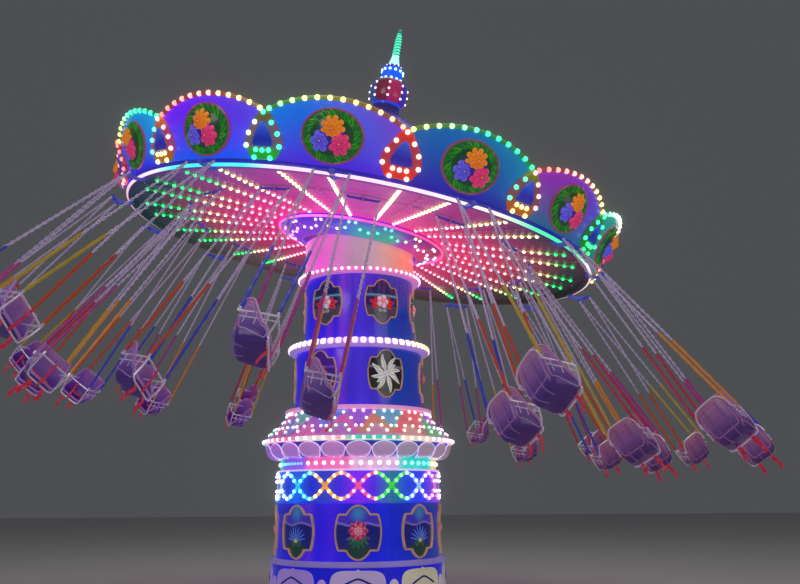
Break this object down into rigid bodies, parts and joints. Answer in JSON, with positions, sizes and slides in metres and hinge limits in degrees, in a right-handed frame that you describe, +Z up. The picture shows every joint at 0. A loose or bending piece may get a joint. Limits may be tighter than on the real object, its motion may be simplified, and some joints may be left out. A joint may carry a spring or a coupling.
{
  "type": "chair swing ride",
  "caption": "Chair swing ride: round lit base, telescoping tower with decorated tiers, leaning spinning crown with a scalloped fascia and spire, and chairs on chains flung outwards.",
  "frame": {"origin": "Centre of the underside of the base plate, on the ground.", "axes": "+Z up along the tower. The crown leans towards +X and slightly -Y. The picture was taken from -Y."},
  "size_m": [13.6666, 13.9057, 10.3782],
  "materials": {
    "blue_fibreglass": "deep blue gloss fibreglass",
    "lilac_fibreglass": "pale lilac-white gloss fibreglass",
    "lamp_white": "white diffuser, lit white to pink",
    "ceiling_panel": "pink-grey painted sheet, satin",
    "galvanised_steel": "dull galvanised",
    "lantern_red": "red gloss fibreglass",
    "spire_green": "mint green, lit",
    "chair_plastic": "lilac moulded plastic",
    "chair_rail": "bright steel tube",
    "chain_steel": "bare galvanised chain",
    "chain_sleeve": "coloured plastic sleeves",
    "seat_strap": "red webbing",
    "led_bulb": "lit coloured lamp caps",
    "gilt_frame": "bronze-gold paint",
    "medallion_art": "painted relief",
    "roof_skin": "blue fibreglass roof"
  },
  "bodies": {
    "base": {"base_plate": "galvanised_steel", "base_skirt": "lilac_fibreglass", "base_ring": "lilac_fibreglass", "base_drum": "blue_fibreglass", "loop_band": "blue_fibreglass", "led_band": "lamp_white", "petal_cove": "lilac_fibreglass", "brim_ring": "lamp_white", "cornice": "blue_fibreglass", "cornice_lip": "lamp_white"},
    "lower_tower": {"lower_tier": "blue_fibreglass", "lower_ring": "lamp_white"},
    "upper_tower": {"upper_tier": "blue_fibreglass", "upper_ring": "lamp_white"},
    "lean_drum": {"lamp_drum": "lamp_white", "tilt_yoke": "galvanised_steel"},
    "tilt_head": {"tilt_block": "galvanised_steel"},
    "crown": {"crown_hub": "galvanised_steel", "hub_band": "blue_fibreglass", "hub_ring": "lamp_white", "ceiling_inner": "ceiling_panel", "ceiling_outer": "ceiling_panel", "ring_beam": "galvanised_steel", "rim_hoop": "lamp_white", "fascia": "blue_fibreglass", "roof": "blue_fibreglass", "spire_neck": "blue_fibreglass", "spire_lantern": "lantern_red", "spire_turret": "blue_fibreglass", "spire_flare": "spire_green", "spire_tip": "spire_green"},
    "chair_inner_01": {"chair_inner_01": "chair_plastic"},
    "chair_inner_02": {"chair_inner_02": "chair_plastic"},
    "chair_inner_03": {"chair_inner_03": "chair_plastic"},
    "chair_inner_04": {"chair_inner_04": "chair_plastic"},
    "chair_inner_05": {"chair_inner_05": "chair_plastic"},
    "chair_inner_06": {"chair_inner_06": "chair_plastic"},
    "chair_inner_07": {"chair_inner_07": "chair_plastic"},
    "chair_inner_08": {"chair_inner_08": "chair_plastic"},
    "chair_inner_09": {"chair_inner_09": "chair_plastic"},
    "chair_inner_10": {"chair_inner_10": "chair_plastic"},
    "chair_inner_11": {"chair_inner_11": "chair_plastic"},
    "chair_inner_12": {"chair_inner_12": "chair_plastic"},
    "chair_inner_13": {"chair_inner_13": "chair_plastic"},
    "chair_inner_14": {"chair_inner_14": "chair_plastic"},
    "chair_outer_01": {"chair_outer_01": "chair_plastic"},
    "chair_outer_02": {"chair_outer_02": "chair_plastic"},
    "chair_outer_03": {"chair_outer_03": "chair_plastic"},
    "chair_outer_04": {"chair_outer_04": "chair_plastic"},
    "chair_outer_05": {"chair_outer_05": "chair_plastic"},
    "chair_outer_06": {"chair_outer_06": "chair_plastic"},
    "chair_outer_07": {"chair_outer_07": "chair_plastic"},
    "chair_outer_08": {"chair_outer_08": "chair_plastic"},
    "chair_outer_09": {"chair_outer_09": "chair_plastic"},
    "chair_outer_10": {"chair_outer_10": "chair_plastic"},
    "chair_outer_11": {"chair_outer_11": "chair_plastic"},
    "chair_outer_12": {"chair_outer_12": "chair_plastic"},
    "chair_outer_13": {"chair_outer_13": "chair_plastic"},
    "chair_outer_14": {"chair_outer_14": "chair_plastic"}
  },
  "joints": [
    {"name": "lift_lower", "type": "slide", "parent": "base", "child": "lower_tower", "axis": [0, 0, 1], "range_m": [-0.8, 0]},
    {"name": "lift_upper", "type": "slide", "parent": "lower_tower", "child": "upper_tower", "axis": [0, 0, 1], "range_m": [-1, 0]},
    {"name": "lean_turn", "type": "hinge", "parent": "upper_tower", "child": "lean_drum", "pos_m": [0, 0, 5.495], "axis": [0, 0, 1], "continuous": true},
    {"name": "crown_tilt", "type": "hinge", "parent": "lean_drum", "child": "tilt_head", "pos_m": [0, 0, 6.08], "axis": [0.284, 0.9588, 0], "range_deg": [-10.4, 0]},
    {"name": "crown_spin", "type": "hinge", "parent": "tilt_head", "child": "crown", "pos_m": [0, 0, 6.08], "axis": [0.1731, -0.0513, 0.9836], "continuous": true},
    {"name": "swing_inner_01", "type": "hinge", "parent": "crown", "child": "chair_inner_01", "pos_m": [0.04651, -3.04257, 5.95897], "axis": [-0.9848, -0.0219, 0.1722], "range_deg": [-36.42, 10.27]},
    {"name": "swing_inner_02", "type": "hinge", "parent": "crown", "child": "chair_inner_02", "pos_m": [1.3438, -2.71255, 5.74788], "axis": [-0.8818, -0.4529, 0.1316], "range_deg": [-38.95, 10.98]},
    {"name": "swing_inner_03", "type": "hinge", "parent": "crown", "child": "chair_inner_03", "pos_m": [2.37648, -1.84574, 5.61134], "axis": [-0.6041, -0.7943, 0.0649], "range_deg": [-40.5, 11.42]},
    {"name": "swing_inner_04", "type": "hinge", "parent": "crown", "child": "chair_inner_04", "pos_m": [2.94001, -0.61381, 5.57638], "axis": [-0.2067, -0.9783, -0.0146], "range_deg": [-40.88, 11.53]},
    {"name": "swing_inner_05", "type": "hinge", "parent": "crown", "child": "chair_inner_05", "pos_m": [2.92278, 0.73924, 5.64995], "axis": [0.2315, -0.9685, -0.0912], "range_deg": [-40.07, 11.3]},
    {"name": "swing_inner_06", "type": "hinge", "parent": "crown", "child": "chair_inner_06", "pos_m": [2.3282, 1.94541, 5.81745], "axis": [0.624, -0.767, -0.1498], "range_deg": [-38.13, 10.76]},
    {"name": "swing_inner_07", "type": "hinge", "parent": "crown", "child": "chair_inner_07", "pos_m": [1.27403, 2.76581, 6.04572], "axis": [0.8928, -0.4135, -0.1787], "range_deg": [-35.33, 9.97]},
    {"name": "swing_inner_08", "type": "hinge", "parent": "crown", "child": "chair_inner_08", "pos_m": [-0.03093, 3.03796, 6.28955], "axis": [0.9848, 0.0219, -0.1722], "range_deg": [-32.1, 9.06]},
    {"name": "swing_inner_09", "type": "hinge", "parent": "crown", "child": "chair_inner_09", "pos_m": [-1.32822, 2.70794, 6.50064], "axis": [0.8818, 0.4529, -0.1316], "range_deg": [-29.1, 8.22]},
    {"name": "swing_inner_10", "type": "hinge", "parent": "crown", "child": "chair_inner_10", "pos_m": [-2.3609, 1.84112, 6.63719], "axis": [0.6041, 0.7943, -0.0649], "range_deg": [-27.07, 7.64]},
    {"name": "swing_inner_11", "type": "hinge", "parent": "crown", "child": "chair_inner_11", "pos_m": [-2.92443, 0.60919, 6.67214], "axis": [0.2067, 0.9783, 0.0146], "range_deg": [-26.54, 7.49]},
    {"name": "swing_inner_12", "type": "hinge", "parent": "crown", "child": "chair_inner_12", "pos_m": [-2.9072, -0.74385, 6.59858], "axis": [-0.2315, 0.9685, 0.0912], "range_deg": [-27.65, 7.81]},
    {"name": "swing_inner_13", "type": "hinge", "parent": "crown", "child": "chair_inner_13", "pos_m": [-2.31262, -1.95002, 6.43107], "axis": [-0.624, 0.767, 0.1498], "range_deg": [-30.11, 8.5]},
    {"name": "swing_inner_14", "type": "hinge", "parent": "crown", "child": "chair_inner_14", "pos_m": [-1.25845, -2.77043, 6.2028], "axis": [-0.8928, 0.4135, 0.1787], "range_deg": [-33.27, 9.39]},
    {"name": "swing_outer_01", "type": "hinge", "parent": "crown", "child": "chair_outer_01", "pos_m": [-0.36568, -4.30039, 5.88969], "axis": [-0.9814, 0.0756, 0.1766], "range_deg": [-42.69, 12]},
    {"name": "swing_outer_02", "type": "hinge", "parent": "crown", "child": "chair_outer_02", "pos_m": [1.50947, -4.01613, 5.57452], "axis": [-0.9204, -0.3639, 0.143], "range_deg": [-44.95, 12.67]},
    {"name": "swing_outer_03", "type": "hinge", "parent": "crown", "child": "chair_outer_03", "pos_m": [3.08462, -2.93612, 5.35363], "axis": [-0.6771, -0.7314, 0.081], "range_deg": [-46.41, 13.08]},
    {"name": "swing_outer_04", "type": "hinge", "parent": "crown", "child": "chair_outer_04", "pos_m": [4.0478, -1.27427, 5.27076], "axis": [-0.2997, -0.954, 0.003], "range_deg": [-46.93, 13.23]},
    {"name": "swing_outer_05", "type": "hinge", "parent": "crown", "child": "chair_outer_05", "pos_m": [4.20823, 0.64026, 5.34232], "axis": [0.137, -0.9877, -0.0756], "range_deg": [-46.48, 13.1]},
    {"name": "swing_outer_06", "type": "hinge", "parent": "crown", "child": "chair_outer_06", "pos_m": [3.53414, 2.42829, 5.55415], "axis": [0.5466, -0.8257, -0.1392], "range_deg": [-45.09, 12.71]},
    {"name": "swing_outer_07", "type": "hinge", "parent": "crown", "child": "chair_outer_07", "pos_m": [2.15905, 3.73568, 5.86429], "axis": [0.848, -0.5002, -0.1753], "range_deg": [-42.92, 12.1]},
    {"name": "swing_outer_08", "type": "hinge", "parent": "crown", "child": "chair_outer_08", "pos_m": [0.3553, 4.30347, 6.2113], "axis": [0.9814, -0.0756, -0.1766], "range_deg": [-40.3, 11.37]},
    {"name": "swing_outer_09", "type": "hinge", "parent": "crown", "child": "chair_outer_09", "pos_m": [-1.51985, 4.01921, 6.52646], "axis": [0.9204, 0.3639, -0.143], "range_deg": [-37.74, 10.64]},
    {"name": "swing_outer_10", "type": "hinge", "parent": "crown", "child": "chair_outer_10", "pos_m": [-3.095, 2.9392, 6.74736], "axis": [0.6771, 0.7314, -0.081], "range_deg": [-35.82, 10.11]},
    {"name": "swing_outer_11", "type": "hinge", "parent": "crown", "child": "chair_outer_11", "pos_m": [-4.05818, 1.27735, 6.83023], "axis": [0.2997, 0.954, -0.003], "range_deg": [-35.08, 9.9]},
    {"name": "swing_outer_12", "type": "hinge", "parent": "crown", "child": "chair_outer_12", "pos_m": [-4.21861, -0.63719, 6.75866], "axis": [-0.137, 0.9877, 0.0756], "range_deg": [-35.72, 10.08]},
    {"name": "swing_outer_13", "type": "hinge", "parent": "crown", "child": "chair_outer_13", "pos_m": [-3.54453, -2.42522, 6.54683], "axis": [-0.5466, 0.8257, 0.1392], "range_deg": [-37.56, 10.6]},
    {"name": "swing_outer_14", "type": "hinge", "parent": "crown", "child": "chair_outer_14", "pos_m": [-2.16943, -3.7326, 6.2367], "axis": [-0.848, 0.5002, 0.1753], "range_deg": [-40.1, 11.31]}
  ],
  "couplings": [
    {"joint": "lift_upper", "follows": "lift_lower", "ratio": 1.25},
    {"joint": "swing_inner_01", "follows": "swing_outer_01", "ratio": 0.8519},
    {"joint": "swing_inner_02", "follows": "swing_outer_01", "ratio": 0.9112},
    {"joint": "swing_inner_03", "follows": "swing_outer_01", "ratio": 0.9475},
    {"joint": "swing_inner_04", "follows": "swing_outer_01", "ratio": 0.9565},
    {"joint": "swing_inner_05", "follows": "swing_outer_01", "ratio": 0.9374},
    {"joint": "swing_inner_06", "follows": "swing_outer_01", "ratio": 0.8921},
    {"joint": "swing_inner_07", "follows": "swing_outer_01", "ratio": 0.8264},
    {"joint": "swing_inner_08", "follows": "swing_outer_01", "ratio": 0.7507},
    {"joint": "swing_inner_09", "follows": "swing_outer_01", "ratio": 0.6806},
    {"joint": "swing_inner_10", "follows": "swing_outer_01", "ratio": 0.6329},
    {"joint": "swing_inner_11", "follows": "swing_outer_01", "ratio": 0.6204},
    {"joint": "swing_inner_12", "follows": "swing_outer_01", "ratio": 0.6466},
    {"joint": "swing_inner_13", "follows": "swing_outer_01", "ratio": 0.7042},
    {"joint": "swing_inner_14", "follows": "swing_outer_01", "ratio": 0.7783},
    {"joint": "swing_outer_02", "follows": "swing_outer_01", "ratio": 1.0518},
    {"joint": "swing_outer_03", "follows": "swing_outer_01", "ratio": 1.086},
    {"joint": "swing_outer_04", "follows": "swing_outer_01", "ratio": 1.0983},
    {"joint": "swing_outer_05", "follows": "swing_outer_01", "ratio": 1.0877},
    {"joint": "swing_outer_06", "follows": "swing_outer_01", "ratio": 1.0551},
    {"joint": "swing_outer_07", "follows": "swing_outer_01", "ratio": 1.0043},
    {"joint": "swing_outer_08", "follows": "swing_outer_01", "ratio": 0.943},
    {"joint": "swing_outer_09", "follows": "swing_outer_01", "ratio": 0.8828},
    {"joint": "swing_outer_10", "follows": "swing_outer_01", "ratio": 0.838},
    {"joint": "swing_outer_11", "follows": "swing_outer_01", "ratio": 0.8206},
    {"joint": "swing_outer_12", "follows": "swing_outer_01", "ratio": 0.8357},
    {"joint": "swing_outer_13", "follows": "swing_outer_01", "ratio": 0.8788},
    {"joint": "swing_outer_14", "follows": "swing_outer_01", "ratio": 0.9383}
  ]
}
